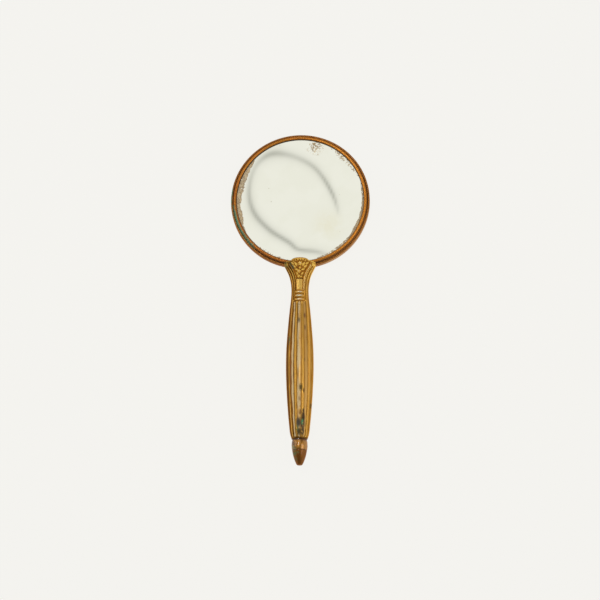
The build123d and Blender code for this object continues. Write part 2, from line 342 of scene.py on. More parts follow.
COLLAR_TOP = -63.9
COLLAR_FOOT = -71.9
COLLAR_SHARE = 0.34
STEM_HALF = 2.15
NECK_BEADS = (-65.4, -68.0, -70.6)
STEM_TOP = -56.5
GAP = 0.7
EDGE_LIP = 0.35
EDGE_BAND = 1.05

# Depths under the section's outline
NECK_FLUTE_DEPTH = 0.52
FIELD_DEPTH = 0.62
BACK_FIELD_DEPTH = 0.30
GAP_DEPTH = 0.70
BETWEEN_BEADS_DEPTH = 0.28
EDGE_DEPTH = 0.5
DEEPEST = 0.85


def section(half_width, half_height, squareness):
    """Even points round one section, from the right seam over the top, and a quarter's length."""
    turn = np.linspace(0, 2 * math.pi, SECTION_STEPS + 1)
    quarter = SECTION_STEPS // 4
    power = 2 / squareness
    x = half_width * np.sign(np.cos(turn)) * np.abs(np.cos(turn)) ** power
    z = half_height * np.sign(np.sin(turn)) * np.abs(np.sin(turn)) ** power
    x[0] = x[-1] = half_width
    z[0] = z[2 * quarter] = z[-1] = 0
    x[quarter] = x[3 * quarter] = 0
    length = np.concatenate([[0], np.cumsum(np.hypot(np.diff(x), np.diff(z)))])
    at = np.arange(COLUMNS) * length[-1] / COLUMNS
    return np.interp(at, length, x), np.interp(at, length, z), length[-1] / 4


def edge_y(x):
    """The fork's upper edge across the handle."""
    shoulder = SHOULDER_RISE * round_off(x, STATIONS[-1][1])
    return SHOULDER_Y + shoulder + DOME_RISE * round_off(x, DOME_HALF)


def round_off(distance, half):
    """Height of a half-round rib, from 1 on its middle to 0 at its sides."""
    return np.sqrt(np.clip(1 - (distance / half) ** 2, 0, 1))


def flute(share, low, high, start, stop, y, quarter):
    """One flute between two ridges, arched at both ends: 0 on its edges and 1 along its middle."""
    half = (high - low) / 2
    reach = half * quarter * FLUTE_SHARE
    from_top = np.clip((start - y) / reach, 0, 1)
    from_end = np.clip((y - stop) / reach, 0, 1)
    arch = np.sqrt(np.clip(1 - (1 - np.minimum(from_top, from_end)) ** 2, 1e-6, 1))
    t = (share - (low + high) / 2) / (half * FLUTE_SHARE * arch)
    return np.clip(1 - t * t, 0, 1) ** 0.75 * arch ** 0.5


def leaf(x, y, foot, tip, half, height):
    """A pointed leaf with a midrib, from foot to tip."""
    run = np.array(tip) - np.array(foot)
    length = np.hypot(*run)
    along = ((x - foot[0]) * run[0] + (y - foot[1]) * run[1]) / length ** 2
    across = ((y - foot[1]) * run[0] - (x - foot[0]) * run[1]) / length
    inside = np.clip(along, 0, 1)
    width = half * np.sin(math.pi * inside ** 0.75) + 0.05
    body = np.clip(1 - (across / width) ** 2, 0, 1) * (along > 0) * (along < 1)
    vein = 0.35 * np.exp(-(across / 0.13) ** 2) * (inside < 0.85)
    return height * (0.55 + 0.45 * inside) * np.sqrt(body) * (1 - vein)


def rosette(x, y, centre, radius, petals, height, turn=0.0):
    """A small flower: petals round a boss."""
    dx, dy = x - centre[0], y - centre[1]
    away = np.hypot(dx, dy)
    around = np.arctan2(dy, dx) + turn
    lobe = np.abs(np.cos(petals * around / 2))
    outline = radius * (0.72 + 0.28 * lobe)
    ring = np.sqrt(np.clip(1 - (away / outline) ** 2, 0, 1)) * (0.55 + 0.3 * lobe)
    boss = round_off(away, 0.34 * radius)
    moat = 0.25 * np.exp(-((away - 0.42 * radius) / 0.16) ** 2)
    return height * np.maximum(ring - moat, boss)


# Leaves of the spray's right half, mirrored on its left: foot, tip, half width and height
LEAVES = (
    ((1.7, -47.4), (3.7, -44.3), 0.90, 0.90),
    ((2.6, -48.6), (5.3, -46.4), 0.80, 0.80),
    ((3.9, -46.2), (6.2, -44.4), 0.75, 0.84),
    ((1.0, -50.2), (3.6, -49.2), 0.72, 0.80),
    ((1.0, -53.6), (2.7, -51.6), 0.66, 0.76),
    ((0.3, -55.6), (1.8, -54.0), 0.55, 0.74),
)
# Flowers of the spray and of its upper edge: centre, radius, petals, height and turn
ROSETTES = (
    ((0.3, -45.4), 1.75, 6, 1.06, 0.2),
    ((-0.6, -51.0), 1.50, 5, 1.06, 0.0),
    ((-4.4, -43.9), 0.75, 4, 0.86, 0.4),
    ((-2.9, -43.2), 0.75, 4, 0.90, 0.4),
    ((-1.2, -42.8), 0.75, 4, 1.00, 0.4),
    ((0.5, -42.7), 0.75, 4, 1.00, 0.4),
    ((2.2, -42.9), 0.75, 4, 0.94, 0.4),
    ((3.8, -43.4), 0.75, 4, 0.90, 0.4),
    ((-0.4, -54.3), 0.95, 4, 0.90, 0.8),
)
SCROLL_X = 9.2
SCROLL_Y = -45.9
SCROLL_RADIUS = 1.6


def spray(x, y):
    """The flower spray that fills the fan between the field's edges."""
    relief = leaf(x, y, (0.1, -49.6), (0.2, -47.2), 0.62, 0.78)
    for foot, tip, half, height in LEAVES:
        for side in (-1, 1):
            relief = np.maximum(relief, leaf(side * x, y, foot, tip, half, height))
    for centre, radius, petals, height, turn in ROSETTES:
        relief = np.maximum(relief, rosette(x, y, centre, radius, petals, height, turn))
    return relief


def neck_lanes(share, y, quarter):
    """The outer and inner hollow between the ridges of the neck and fork, open at the upper edge."""
    outer, middle, field = (smooth(y, *path) for path in (OUTER_RIDGE, MIDDLE_RIB, FIELD_EDGE))
    outer_lane = flute(share, middle, outer, PAST_EDGE, COLLAR_FOOT + 0.8, y, quarter)
    return outer_lane, flute(share, field, middle, PAST_EDGE, COLLAR_TOP - 1.0, y, quarter)


def neck_relief(share, x, y, quarter, front):
    """Ridges, stem or field, and beads above the flutes. Heights are from the section's outline."""
    relief = -NECK_FLUTE_DEPTH * np.maximum(*neck_lanes(share, y, quarter))
    inner = share < smooth(y, *FIELD_EDGE)
    field = inner & (y > STEM_TOP + GAP)
    panel = inner & (y > COLLAR_TOP) & (y <= STEM_TOP)
    rib = 0.12 * round_off((share - smooth(y, *FIELD_EDGE)) * quarter, 0.34) * (y > STEM_TOP)
    if front:
        stem = 0.70 * np.clip(1 - np.abs(x + 0.5) / (STEM_HALF + 0.5), 0, 1) ** 0.8 - 0.50
        relief = np.where(panel, np.where(np.abs(x) < STEM_HALF, stem, -FIELD_DEPTH), relief)
        relief = np.where(field, spray(x, y) - FIELD_DEPTH, relief)
    else:
        relief = np.where(field | panel, -BACK_FIELD_DEPTH, relief)
    gap = inner & (y > STEM_TOP) & (y <= STEM_TOP + GAP)
    relief = np.where(gap, -GAP_DEPTH, relief)
    outside = (y > COLLAR_TOP - 0.6) | (y < COLLAR_FOOT + 0.4)
    beads = np.where(outside, -GAP_DEPTH, -BETWEEN_BEADS_DEPTH)
    for at in NECK_BEADS:
        beads = np.maximum(beads, 0.78 * round_off(y - at, 0.95) - 0.48)
    ends = round_off(share, COLLAR_SHARE) ** 0.3
    beaded = (y <= COLLAR_TOP) & (y > COLLAR_FOOT)
    beads = (beads + FIELD_DEPTH) * ends - FIELD_DEPTH
    relief = np.where(beaded & (share < COLLAR_SHARE), beads, relief)
    moat = beaded & (share >= COLLAR_SHARE) & (share < COLLAR_SHARE + 0.05)
    return np.where(moat, -FIELD_DEPTH, relief + rib)


def handle_relief(share, x, y, quarter, radius, front):
    """How far the surface stands off the plain section, and how deep it lies in a flute, 0 to 1."""
    outer = smooth(y, *OUTER_RIDGE)
    foot = SHELL_END + 0.7
    lane = flute(share, -INNER_RIDGE, INNER_RIDGE, COLLAR_FOOT - 0.1, foot, y, quarter)
    lane = np.maximum(lane, flute(share, INNER_RIDGE, outer, COLLAR_FOOT + 0.3, foot, y, quarter))
    side = flute(share, outer, SIDE_RIDGE, PAST_EDGE, foot, y, quarter)
    relief = -FLUTE_DEPTH * radius * np.maximum(lane, side)
    lane = np.maximum(lane, side * np.where(x > 0, 0.66, 0.46))
    above = (y > COLLAR_FOOT) & (share < outer)
    outer_lane, inner_lane = neck_lanes(share, y, quarter)
    painted = np.maximum(0.55 * outer_lane, np.where(x > 0, 1.0, 0.55) * inner_lane)
    lane = np.where(above, painted * (share > smooth(y, *FIELD_EDGE)), lane)
    neck = np.maximum(neck_relief(share, x, y, quarter, front), -DEEPEST)
    relief = np.where(above, neck, relief)
    capital = round_off(np.hypot((share - INNER_RIDGE) * quarter, y - (COLLAR_FOOT - 0.75)), 0.95)
    relief = relief + 0.20 * capital
    lane = lane * (1 - capital)
    scroll = np.hypot(np.abs(x) - SCROLL_X, y - SCROLL_Y)
    ball = 0.85 * round_off(scroll, 0.8 * SCROLL_RADIUS) - 0.62
    relief = np.where(scroll < SCROLL_RADIUS, np.maximum(relief, ball), relief)
    edge = edge_y(x) - y
    border = 0.30 * round_off(edge - 0.5, 0.55) - 0.32
    border = np.where(edge < EDGE_LIP, -EDGE_DEPTH, border)
    relief = np.where(edge < EDGE_BAND, border, relief)
    seam = 0.14 * np.exp(-((1 - share) * quarter / 0.16) ** 2)
    return relief - seam, np.where((edge < EDGE_BAND) | (scroll < SCROLL_RADIUS), 0, lane)


def handle_rows():
    """Stations of the mesh's rows, close together where the ornament is."""
    ornament = np.arange(SHOULDER_Y, ORNAMENT_FOOT, -ORNAMENT_PITCH)
    flutes = np.arange(ORNAMENT_FOOT, SHELL_END + END_ZONE, -FLUTE_PITCH)
    end = np.arange(SHELL_END + END_ZONE, SHELL_END, -END_PITCH)
    return np.concatenate([ornament, flutes, end, [SHELL_END]])


def handle_solid():
    """The whole handle as one closed solid, before it is hollowed and split."""
    rows = handle_rows()
    width, height, square = (smooth(rows, STATIONS[:, 0], STATIONS[:, k]) for k in (1, 2, 3))
    outline = [section(w, h, n) for w, h, n in zip(width, height, square)]
    x, z, quarter = (np.array(part) for part in zip(*outline))
    column = np.arange(COLUMNS) / COLUMNS
    share = np.abs(1 - 4 * (column % 0.5))
    lift = np.clip((rows - (SHOULDER_Y - EDGE_FADE)) / EDGE_FADE, 0, 1) ** 2
    y = rows[:, None] + (edge_y(x) - SHOULDER_Y) * lift[:, None]
    share = np.broadcast_to(share, x.shape)
    quarter = np.broadcast_to(quarter[:, None], x.shape)
    radius = np.broadcast_to(np.sqrt(width * height)[:, None], x.shape)
    front, lane = handle_relief(share, x, y, quarter, radius, True)
    back, _ = handle_relief(share, x, y, quarter, radius, False)
    relief = np.where(z >= 0, front, back)
    dx = np.roll(x, -1, 1) - np.roll(x, 1, 1)
    dz = np.roll(z, -1, 1) - np.roll(z, 1, 1)
    size = np.hypot(dx, dz)
    points = np.stack([x + relief * dz / size, y, AXIS_Z + z - relief * dx / size], -1)
    mouth = points[0].copy()
    mouth[:, 2] = AXIS_Z + 0.3 * (mouth[:, 2] - AXIS_Z)
    points = np.concatenate([mouth[None], points])
    count = len(points)
    faces = grid_faces(count, COLUMNS, wrap_columns=True)
    ends = [(0.0, SHOULDER_Y + 1.5, AXIS_Z), (0.0, SHELL_END, AXIS_Z)]
    flat = np.concatenate([points.reshape(-1, 3), ends])
    top, foot = count * COLUMNS, count * COLUMNS + 1
    last = (count - 1) * COLUMNS
    for j in range(COLUMNS):
        after = (j + 1) % COLUMNS
        faces.append([top, after, j])
        faces.append([foot, last + j, last + after])
    depth, lane = (np.concatenate([part[0], part.ravel(), [0, 0]]) for part in (relief, lane))
    return new_object("handle_solid", flat, faces, relief=np.clip(1 + depth, 0, 1.5), lane=lane)


def head_space():
    """The space of the head between the prongs."""
    top, bottom = RIM_TOP + 0.05, LIP_BACK_Z - 0.15
    profile = [(0, bottom), (0, top), (BEAD_OUTER, top), (BEAD_OUTER, GROOVE_Z), (GROOVE_OUTER, GROOVE_Z)]
    profile += arc((GROOVE_OUTER, GROOVE_Z), BAND_CREST, (RIM_RADIUS, BAND_EDGE_Z), 8)
    profile += [(RIM_RADIUS, BAND_EDGE_Z), (RIM_RADIUS, bottom)]
    return lathe("head_space", profile, 540)


def bore_space():
    """The hollow of the handle and the straight bore for the collar's spigot."""
    spigot = 2.9
    profile = [
        (0, SHELL_END - 1), (spigot, SHELL_END - 1), (spigot, SHELL_END + 4), (3.0, SHELL_END + 4.01),
        (6.6, BELLY_Y), (3.8, -72.0), (0, -72.0),
    ]
    return lathe("bore_space", profile, 96, along_handle=True)


def half_space(sign):
    """A block that holds one side of the split plane."""
    size = 400.0
    low, high = (0.0, size) if sign > 0 else (-size, 0.0)
    corners = [
        (x, y, AXIS_Z + z)
        for z in (low, high) for y in (-size, size) for x in (-size, size)
    ]
    faces = [(0, 2, 3, 1), (4, 5, 7, 6), (0, 1, 5, 4), (2, 6, 7, 3), (0, 4, 6, 2), (1, 3, 7, 5)]
    return new_object("half_space", corners, faces)


def make_handle():
    """Hollows the solid round the tang, rod, screws and pins, and splits it into its two castings."""
    solid = handle_solid()
    spaces = [head_space(), bore_space()]
    spaces += [welded(frame["nodes"][node]) for node in ("tang", "head_screws", "dowel_pins")]
    for space in spaces:
        boolean(solid, space)
        remove(space)
    halves = []
    for node, sign in (("handle_front", 1), ("handle_back", -1)):
        half = solid.copy()
        half.data = solid.data.copy()
        half.name = f"{node}_cast"
        link(half)
        keep = half_space(sign)
        boolean(half, keep, "INTERSECT")
        remove(keep)
        finish_shading(half.data, CUT_SHARP_ANGLE)
        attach(half, ROOT)
        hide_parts(node)
        halves.append(half)
    remove(solid)
    return halves


def make_collar():
    """The bulb under the flutes, with a bead of metal at its neck."""
    low, high = COLLAR_LOW.y, SHELL_END
    rod = ROD_HIGH.x
    spigot, spigot_end = 2.85, COLLAR_HIGH.y
    profile = trace(
        (rod, low),
        (4, (4.80, low)),
        (3, (4.88, low + 0.06), (4.95, low + 0.18)),
        (22, (5.32, low + 3.1), (5.05, high - 1.1)),
        (6, (4.93, high - 0.75), (4.62, high - 0.55)),
        (2, (4.60, high)),
        (3, (spigot, high)),
        (4, (spigot, spigot_end)),
        (1, (rod, spigot_end)),
        (6, (rod, low)),
    )
    collar = lathe("end_collar_turned", profile, 160, along_handle=True, wobble=0.003, relief=collar_relief)
    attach(collar, ROOT)
    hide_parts("end_collar")
    return collar


def collar_relief(radius, height):
    """Dark in the groove above the bulb and at the joint under it."""
    upper = np.exp(-((height - (SHELL_END - 0.3)) / 0.6) ** 2)
    lower = np.exp(-((height - COLLAR_LOW.y) / 0.25) ** 2)
    return np.clip(1 - upper - 0.8 * lower, 0, 1)


def make_tip():
    """The blunt tip that screws onto the rod."""
    top, bottom = TIP_HIGH.y, TIP_LOW.y
    rod, rod_end = ROD_HIGH.x, ROD_LOW.y
    profile = trace(
        (rod, top),
        (4, (4.72, top)),
        (3, (4.80, top - 0.06), (4.82, top - 0.18)),
        (20, (3.90, top - 4.4), (2.25, bottom + 1.0)),
        (8, (1.75, bottom + 0.28), (0.9, bottom + 0.03)),
        (3, (0.0, bottom)),
    )
    profile += [(0, bottom), (0, rod_end), (rod, rod_end)]
    tip = lathe("finial_tip_turned", profile, 160, along_handle=True, wobble=0.004)
    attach(tip, ROOT)
    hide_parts("finial_tip")
    return tip


# ---------------------------------------------------------------- node tools

def srgb(red, green, blue):
    """A colour named by its 0 to 255 screen values."""
    def linear(v):
        v /= 255
        return v / 12.92 if v <= 0.04045 else ((v + 0.055) / 1.055) ** 2.4
    return (linear(red), linear(green), linear(blue), 1.0)


class Nodes:
    """Short calls for building one node tree."""

    def __init__(self, tree):
        self.tree = tree

    def add(self, kind, **inputs):
        node = self.tree.nodes.new(kind)
        self.feed(node, **inputs)
        return node

    def feed(self, node, **inputs):
        """Sets or links inputs by name, with underscores for spaces."""
        for key, value in inputs.items():
            self.put(node.inputs[key.replace("_", " ")], value)

    def put(self, socket, value):
        if isinstance(value, bpy.types.NodeSocket):
            self.tree.links.new(value, socket)
        elif value is not None:
            socket.default_value = value

    def position(self):
        """The piece's own coordinates, in metres."""
        return self.add("ShaderNodeTexCoord").outputs["Object"]

    def stretched(self, vector, scale):
        return self.add("ShaderNodeMapping", Vector=vector, Scale=scale).outputs["Vector"]

    def noise(self, vector, scale, detail=4.0, roughness=0.55, distortion=0.0):
        node = self.add("ShaderNodeTexNoise", Vector=vector, Scale=scale, Detail=detail,
                        Roughness=roughness, Distortion=distortion)
        return node.outputs["Fac"]

    def cells(self, vector, scale):
        return self.add("ShaderNodeTexVoronoi", Vector=vector, Scale=scale).outputs["Distance"]

    def math(self, operation, a, b=None, clamp=False):
        node = self.add("ShaderNodeMath")
        node.operation = operation
        node.use_clamp = clamp
        self.put(node.inputs[0], a)
        self.put(node.inputs[1], b)
        return node.outputs["Value"]

    def plus(self, a, b):
        return self.math("ADD", a, b)

    def times(self, a, b):
        return self.math("MULTIPLY", a, b)

    def larger(self, a, b):
        return self.math("MAXIMUM", a, b)

    def span(self, value, low, high, to_low=0.0, to_high=1.0, smooth_step=True):
        """Value mapped from low..high to 0..1, held at the ends."""
        node = self.add("ShaderNodeMapRange", Value=value, From_Min=low, From_Max=high,
                        To_Min=to_low, To_Max=to_high)
        node.interpolation_type = "SMOOTHSTEP" if smooth_step else "LINEAR"
        return node.outputs["Result"]

    def between(self, value, low, high, to_low=0.0, to_high=1.0):
        """A length mapped like span does, from low to high in millimetres."""
        return self.span(value, low * MM, high * MM, to_low, to_high)

    def spread(self, noise, amount):
        """A noise turned into an offset of up to amount either way."""
        return self.span(noise, 0.3, 0.7, -amount, amount, False)

    def ramp(self, value, stops):
        node = self.add("ShaderNodeValToRGB", Fac=value)
        band = node.color_ramp
        while len(band.elements) < len(stops):
            band.elements.new(0.5)
        for element, (place, colour) in zip(band.elements, stops):
            element.position = place
            element.color = colour
        return node.outputs["Color"]

    def levels(self, value, stops):
        """A number that follows given levels along value."""
        return self.ramp(value, [(place, (level, level, level, 1.0)) for place, level in stops])

    def mix(self, share, a, b):
        """Colour a with its share of colour b."""
        node = self.add("ShaderNodeMix")
        node.data_type = "RGBA"
        self.put(node.inputs[0], share)
        self.put(node.inputs[6], a)
        self.put(node.inputs[7], b)
        return node.outputs[2]

    def layered(self, base, *layers):
        """Colours laid over a base, one after another, each as (share, colour)."""
        for share, colour in layers:
            base = self.mix(share, base, colour)
        return base

    def spot(self, vector, centre, radius, soft=0.6):
        """1 inside a round patch, fading to 0 past it. Centre and radius are in millimetres."""
        place = self.add("ShaderNodeVectorMath")
        place.operation = "DISTANCE"
        self.put(place.inputs[0], vector)
        place.inputs[1].default_value = [c * MM for c in centre]
        return self.span(place.outputs["Value"], radius * MM, radius * MM * (1 - soft))

    def attribute(self, name):
        node = self.add("ShaderNodeAttribute")
        node.attribute_name = name
        return node.outputs["Fac"]

    def bump(self, height, strength, distance):
        node = self.add("ShaderNodeBump", Height=height, Strength=strength, Distance=distance)
        return node.outputs["Normal"]


def material(name):
    made = bpy.data.materials.new(name)
    made.use_nodes = True
    return made, Nodes(made.node_tree), made.node_tree.nodes["Principled BSDF"]


def dress(thing, made):
    """Puts one material on every face of a piece or CAD node."""
    if thing.material_slots:
        for place in thing.material_slots:
            place.link = "OBJECT"
            place.material = made
    else:
        thing.data.materials.append(made)


# ---------------------------------------------------------------- materials

def aged_brass(name, bright, body, dull, dark, roughness, coat, stains_and_shade, use_relief=True):
    """Old brass: brighter where it is rubbed, dull in broad patches, dark in its hollows, with stains and
    painted shade.

    The list of patches holds (centre, radius, colour) in millimetres; a patch in it may be painted shade.
    """
    made, n, shader = material(name)
    at = n.position()
    broad = n.noise(at, 110, 3)
    cloud = n.noise(at, 420, 5, 0.6, 0.6)
    fine = n.noise(at, 2400, 3, 0.6)
    colour = n.mix(n.span(broad, 0.40, 0.62), body, dull)
    colour = n.mix(n.span(cloud, 0.50, 0.72, 0, 0.75), colour, bright)
    if use_relief:
        relief = n.attribute("relief")
        uneven = n.plus(relief, n.spread(cloud, 0.16))
        colour = n.mix(n.span(uneven, 0.72, 1.02, 0, 0.70), colour, bright)
        hollow = n.span(uneven, 0.34, 0.02, 0, 0.9)
        colour = n.mix(hollow, colour, dark)
    pits = n.span(n.cells(at, 900), 0.16, 0.04)
    pits = n.times(pits, n.span(n.noise(at, 260, 2), 0.52, 0.66))
    colour = n.mix(n.times(pits, 0.8), colour, dark)
    covered = pits
    ragged = n.noise(at, 900, 4, 0.65, 0.8)
    for centre, radius, tint in stains_and_shade:
        patch = n.times(n.spot(at, centre, radius, 0.85), n.span(ragged, 0.40, 0.56))
        colour = n.mix(patch, colour, tint)
        covered = n.larger(covered, patch)
    rubbed = n.span(cloud, 0.30, 0.75, roughness + 0.12, roughness - 0.06, False)
    surface = n.plus(n.times(cloud, 0.6), n.times(fine, 0.25))
    surface = n.math("SUBTRACT", surface, n.times(covered, 0.25))
    n.feed(
        shader, Base_Color=colour, Metallic=n.span(covered, 0, 1, 0.85, 0.25, False),
        Roughness=n.math("ADD", rubbed, n.times(covered, 0.3), clamp=True),
        Specular_Tint=srgb(236, 180, 110), Coat_Weight=coat, Coat_Roughness=0.06,
        Normal=n.bump(surface, 0.35, 0.00025),
    )
    return made


# Stains on the handle's front: place across and along, half width, colour. STAIN_STRETCH makes each
# about twice as long as it is wide.
STAIN_STRETCH = 0.45
HANDLE_STAINS = (
    (2.9, -147.8, 1.5, srgb(66, 50, 34)),
    (2.9, -151.5, 2.2, srgb(46, 38, 34)),
    (2.6, -156.0, 2.3, srgb(56, 56, 56)),
    (2.4, -161.0, 1.9, srgb(62, 58, 50)),
    (-0.4, -155.0, 2.3, srgb(66, 68, 66)),
    (-0.2, -161.0, 1.9, srgb(72, 64, 40)),
    (-1.4, -158.5, 1.2, srgb(90, 116, 70)),
    (2.2, -154.5, 1.2, srgb(78, 150, 104)),
    (0.9, -131.5, 1.8, srgb(88, 74, 36)),
    (3.4, -133.6, 1.1, srgb(70, 44, 14)),
    (7.4, -132.0, 1.1, srgb(74, 54, 26)),
    (7.7, -143.0, 1.2, srgb(84, 66, 38)),
    (-0.3, -85.0, 1.5, srgb(84, 76, 62)),
    (3.7, -81.5, 1.5, srgb(120, 78, 52)),
    (4.1, -90.0, 1.4, srgb(118, 82, 52)),
    (-7.2, -99.0, 1.8, srgb(66, 112, 78)),
    (-4.0, -122.5, 1.2, srgb(64, 46, 20)),
    (4.0, -112.6, 1.1, srgb(108, 72, 40)),
    (8.0, -111.0, 1.0, srgb(76, 66, 42)),
    (0.6, -148.0, 1.4, srgb(126, 82, 52)),
    (0.2, -139.0, 1.4, srgb(134, 94, 58)),
    (-6.4, -45.6, 0.8, srgb(84, 92, 62)),
    (-5.3, -46.6, 0.9, srgb(62, 82, 74)),
    (-4.5, -48.2, 1.0, srgb(52, 72, 68)),
    (-9.2, -45.2, 1.8, srgb(94, 92, 52)),
)


def on_handle(x, y):
    """The height of the handle's plain outline above the mirror's back, at a place on its front."""
    half = smooth(np.array(y), STATIONS[:, 0], STATIONS[:, 1])
    height = smooth(np.array(y), STATIONS[:, 0], STATIONS[:, 2])
    return AXIS_Z + float(height * math.sqrt(max(1 - (x / half) ** 2, 0)))


class HandleMaps:
    """The handle's coordinates, carving and grain, which its colours are worked out from."""

    def __init__(self, n):
        self.at = n.position()
        place = n.add("ShaderNodeSeparateXYZ", Vector=self.at)
        self.across, self.along, self.height = (place.outputs[axis] for axis in "XYZ")
        self.streaks = n.noise(n.stretched(self.at, (1, 0.07, 1)), 1300, 4, 0.6)
        self.patches = n.noise(n.stretched(self.at, (1, 0.4, 1)), 190, 4, 0.6, 0.5)
        self.fine = n.noise(self.at, 2200, 3, 0.65)
        self.lane = n.attribute("lane")
        self.wander = n.plus(self.across, n.spread(self.patches, 1.5 * MM))
        self.carved = n.plus(n.attribute("relief"), n.spread(self.fine, 0.07))
        self.plain = n.span(self.lane, 0.05, 0.0)
        self.field = n.times(n.between(self.along, STEM_TOP - 1, STEM_TOP + 1), self.plain)


def bare_metal_with_left_shade(n, maps):
    """Bare metal, browner on its left side as painted shade."""
    streaky = n.span(maps.streaks, 0.40, 0.62)
    right_side_metal = n.mix(streaky, srgb(172, 116, 36), srgb(196, 146, 58))
    # painted shade: the browner copy of the same metal used on the left side
    shaded_left_metal = n.mix(streaky, srgb(136, 82, 10), srgb(166, 108, 22))
    colour = n.mix(n.between(maps.wander, -0.2, -3.6), right_side_metal, shaded_left_metal)
    return n.mix(n.span(maps.patches, 0.52, 0.68, 0, 0.5), colour, srgb(178, 130, 58))


def gild_ornament(n, maps, colour):
    """Ornament: bright on top, dark below, with painted highlights on the highest bosses and the neck
    beads.
    """
    carved = maps.carved
    gilt = n.times(n.span(carved, 0.56, 0.80, 0, 0.9), maps.field)
    stem = n.between(n.math("ABSOLUTE", maps.across), 2.4, 1.8)
    stem = n.times(n.between(maps.along, COLLAR_TOP - 0.6, COLLAR_TOP + 0.4), stem)
    stem = n.times(stem, n.between(maps.along, STEM_TOP + 1, STEM_TOP, 0, 0.7))
    middle_bead = NECK_BEADS[1]
    beads = n.spot(maps.at, (-0.6, middle_bead, on_handle(0.0, middle_bead)), 3.4, 0.8)
    return n.layered(
        colour,
        (n.span(carved, 0.86, 1.04, 0, 0.65), srgb(246, 192, 92)),
        (gilt, srgb(255, 210, 100)),
        (stem, srgb(255, 210, 112)),
        # painted highlight: near white on the highest raised points, such as the rosettes' bosses
        (n.span(carved, 1.22, 1.34), srgb(255, 250, 232)),
        # painted highlight: pale on the neck beads, a little left of their middle
        (n.times(beads, n.span(carved, 1.08, 1.22, 0, 0.8)), srgb(224, 214, 180)),
        (n.times(n.span(carved, 0.62, 0.44, 0, 0.85), maps.plain), srgb(204, 132, 36)),
        (n.times(n.span(carved, 0.44, 0.33, 0, 0.85), maps.plain), srgb(86, 48, 8)),
    )


def shade_flutes(n, maps, colour):
    """Flutes with painted shade along both edges and pale along the middle; on the left side the shade
    is stronger and the middle darker, with cream stripes that are partly dust, partly painted highlight.
    """
    front = n.between(maps.height, AXIS_Z + 1.0, AXIS_Z + 4.5)
    left_front = n.times(n.between(maps.wander, 1.0, -1.0, 0.15, 1.0), front)
    ragged = n.plus(maps.lane, n.spread(maps.streaks, 0.14))
    fork = n.times(n.between(maps.along, -66.0, -60.0), n.between(maps.across, 0.8, 2.2))
    dim = n.larger(left_front, n.times(fork, 0.9))
    dim = n.times(dim, n.between(maps.along, -66.0, -58.0, 1.0, 0.72))
    # painted shade along each flute's edges, strongest on the left side; the fork's lanes get the same dark
    groove = n.times(n.span(ragged, 0.06, 0.26), n.span(dim, 0, 1, 0.34, 0.96, False))
    wall = n.mix(n.between(maps.wander, -3.4, -1.8), srgb(88, 48, 4), srgb(140, 92, 22))
    # the flutes' middle, darker on the left side as painted shade
    middle = n.mix(left_front, srgb(208, 162, 88), srgb(146, 94, 20))
    # cream stripes along the flutes: partly dust, partly a painted highlight
    dust = n.mix(n.span(maps.fine, 0.54, 0.66, 0, 0.6), srgb(240, 218, 170), srgb(190, 146, 78))
    centre = n.between(n.math("ABSOLUTE", maps.across), 2.8, 2.0, 0.0, 0.22)
    dust_and_sheen = n.times(n.span(n.plus(ragged, centre), 0.80, 0.96), left_front)
    dust_and_sheen = n.times(dust_and_sheen, n.between(maps.across, 0.6, -1.0, 0.6, 0.95))
    colour = n.layered(
        colour,
        (groove, wall),
        (n.span(ragged, 0.52, 0.78, 0, 0.95), middle),
        (dust_and_sheen, dust),
        (n.times(fork, n.span(ragged, 0.56, 0.80, 0, 0.95)), srgb(252, 220, 150)),
    )
    return colour, dust_and_sheen


def darken_foot_and_shade_left_side(n, maps, colour):
    """Dark round the handle's foot, and painted shade along its left side."""
    foot = n.between(maps.along, SHELL_END + 1.5, SHELL_END + 0.6, 0, 0.85)
    # painted shade: the left side darkened towards the seam
    side = n.between(maps.wander, -4.4, -8.0, 0, 0.5)
    return n.layered(colour, (foot, srgb(78, 44, 10)), (side, srgb(92, 52, 8)))


def stain_handle(n, maps, colour, covered):
    """Stains on the front, and with them how far the stains cover the metal."""
    drawn = n.stretched(maps.at, (1, STAIN_STRETCH, 1))
    ragged = n.span(n.noise(drawn, 900, 4, 0.65, 0.8), 0.33, 0.44)
    for x, y, radius, tint in HANDLE_STAINS:
        centre = (x, y * STAIN_STRETCH, on_handle(x, y))
        patch = n.times(n.spot(drawn, centre, radius, 0.65), ragged)
        colour = n.mix(n.times(patch, 0.94), colour, tint)
        covered = n.larger(covered, patch)
    return colour, covered


def handle_material():
    """Gilt brass rubbed bright on its ridges, pale along its flutes, partly dust and partly painted
    highlight, dark in the hollows, with painted shade along the flute edges and down its left side.
    """
    made, n, shader = material("gilt_brass_handle")
    maps = HandleMaps(n)
    colour = gild_ornament(n, maps, bare_metal_with_left_shade(n, maps))
    colour, dust_and_sheen = shade_flutes(n, maps, colour)
    colour = darken_foot_and_shade_left_side(n, maps, colour)
    pits = n.span(n.cells(maps.at, 700), 0.20, 0.08)
    pits = n.times(pits, n.span(n.noise(maps.at, 200, 2), 0.46, 0.58))
    colour = n.mix(n.times(pits, 0.85), colour, srgb(92, 54, 20))
    covered = n.larger(n.larger(pits, n.times(dust_and_sheen, 0.7)), n.times(maps.field, 0.75))
    colour, covered = stain_handle(n, maps, colour, covered)
    surface = n.plus(n.times(maps.streaks, 0.7), n.times(maps.fine, 0.3))
    surface = n.math("SUBTRACT", surface, n.times(pits, 0.3))
    n.feed(
        shader, Base_Color=colour, Metallic=n.span(covered, 0, 1, 0.82, 0.3, False),
        Roughness=n.span(covered, 0, 1, 0.38, 0.60, False), Specular_Tint=srgb(236, 186, 96),
        Coat_Weight=0.12, Coat_Roughness=0.2, Normal=n.bump(surface, 0.4, 0.0002),
    )
    return made


